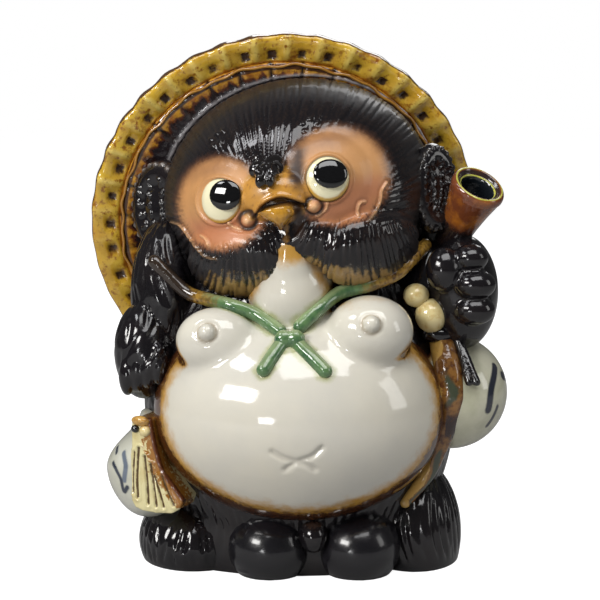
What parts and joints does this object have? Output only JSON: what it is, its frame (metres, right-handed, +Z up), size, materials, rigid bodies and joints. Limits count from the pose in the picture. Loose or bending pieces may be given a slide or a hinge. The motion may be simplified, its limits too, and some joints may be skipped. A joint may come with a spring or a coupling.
{
  "type": "ceramic tanuki figure",
  "caption": "Free-standing glazed ceramic tanuki figure with a straw hat behind its head, a sake flask, an account book and a round white belly.",
  "frame": {"origin": "middle of the foot ring, on the surface that the figure stands on", "axes": "+Z up, -Y the way the figure faces, +X the viewer's right"},
  "size_m": [0.1997, 0.1556, 0.2505],
  "materials": {
    "fur_glaze": "glossy black-brown glaze over combed fur",
    "pouch_glaze": "smooth glossy black glaze",
    "bare_clay": "unglazed fired clay",
    "white_glaze": "glossy warm white glaze breaking to golden brown at the edges",
    "flask_glaze": "glossy off-white glaze with plain blue-black rings",
    "book_cover_glaze": "glossy white glaze with plain blue-grey bands",
    "mask_glaze": "satin tan slip sprayed to black at the edges",
    "eye_white": "glossy cream glaze",
    "eye_black": "mirror-glossy black glaze",
    "muzzle_glaze": "glossy amber-brown glaze",
    "nose_glaze": "glossy black glaze",
    "straw_glaze": "glossy ochre glaze pooling brown in the dimples",
    "slat_glaze": "glossy brown glaze running to black",
    "green_glaze": "glossy copper-green glaze",
    "brown_glaze": "glossy iron-brown glaze",
    "cream_glaze": "glossy cream glaze, brown in the creases"
  },
  "bodies": {
    "root": {"front_body_shell": "fur_glaze", "back_body_shell": "fur_glaze", "floor_slab": "bare_clay", "belly_shell": "white_glaze", "chest_bib": "white_glaze", "breast_left": "white_glaze", "breast_right": "white_glaze", "stud_left": "white_glaze", "stud_right": "white_glaze", "head_front_shell": "fur_glaze", "head_back_shell": "fur_glaze", "patch_left": "mask_glaze", "patch_right": "mask_glaze", "eye_left": "eye_white", "eye_right": "eye_white", "pupil_left": "eye_black", "pupil_right": "eye_black", "muzzle": "muzzle_glaze", "lower_lip": "muzzle_glaze", "nose": "nose_glaze", "ruff_left": "fur_glaze", "ruff_right": "fur_glaze", "forehead_fringe": "fur_glaze", "ear_left": "fur_glaze", "ear_right": "fur_glaze", "hat_border": "straw_glaze", "hat_ridge": "slat_glaze", "hat_slats": "slat_glaze", "hat_crown": "straw_glaze", "cord_left": "green_glaze", "cord_right": "green_glaze", "cord_knot": "green_glaze", "cord_tail_left": "green_glaze", "cord_tail_right": "green_glaze", "arm_left": "fur_glaze", "paw_left": "fur_glaze", "arm_right": "fur_glaze", "paw_right": "fur_glaze", "thumb_right": "fur_glaze", "fingers_right": "fur_glaze", "flask_body": "flask_glaze", "flask_neck": "brown_glaze", "flask_lip": "brown_glaze", "flask_strap": "brown_glaze", "strap_knot": "nose_glaze", "bead_small": "cream_glaze", "bead_large": "cream_glaze", "book_pages": "cream_glaze", "book_cover": "book_cover_glaze", "book_cap": "brown_glaze", "book_tie": "nose_glaze", "book_toggle": "cream_glaze", "foot_left": "fur_glaze", "foot_right": "fur_glaze", "pouch_left": "pouch_glaze", "pouch_right": "pouch_glaze", "pouch_bump": "fur_glaze", "tail": "fur_glaze"}
  },
  "joints": []
}
